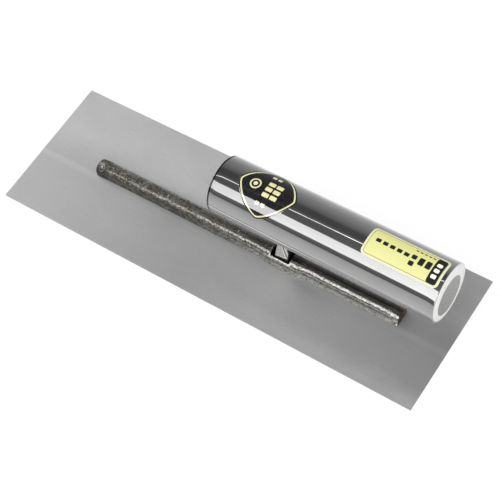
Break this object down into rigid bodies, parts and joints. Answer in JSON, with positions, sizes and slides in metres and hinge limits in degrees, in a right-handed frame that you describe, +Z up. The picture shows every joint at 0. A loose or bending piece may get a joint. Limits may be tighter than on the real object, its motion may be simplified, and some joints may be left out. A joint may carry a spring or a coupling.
{
  "type": "steel finishing trowel",
  "caption": "Flat rectangular steel finishing trowel with a forged backbone bar and a round chromed tube handle on a short central neck.",
  "frame": {"origin": "centre of the blade's flat working face, on its underside", "axes": "+X along the blade towards the handle's rear end, +Y towards the blade's back long edge, +Z up from the working face towards the handle"},
  "size_m": [0.2707, 0.084, 0.0716],
  "materials": {
    "blade_steel": "fine satin grain",
    "bar_steel": "forged, dark scale with worn bright high spots",
    "rivet_steel": "upset by hammer, dressed flush",
    "neck_steel": "forged and roughly ground",
    "handle_chrome": "polished plating",
    "end_ring_white": "bright satin",
    "end_plug_steel": "turned face",
    "fixing_steel": "zinc plated",
    "badge_film": "gloss film with a pale gold printed border",
    "label_film": "satin film with printed keyline and blocks"
  },
  "bodies": {
    "root": {"blade": "blade_steel", "backbone_bar": "bar_steel", "blade_rivets": "rivet_steel", "neck_post": "neck_steel", "handle_tube": "handle_chrome", "rear_end_ring": "end_ring_white", "rear_end_plug": "end_plug_steel", "front_end_ring": "end_ring_white", "front_end_plug": "end_plug_steel", "saddle_washer": "fixing_steel", "neck_nut": "fixing_steel", "badge_sticker": "badge_film", "size_label": "label_film"}
  },
  "joints": []
}
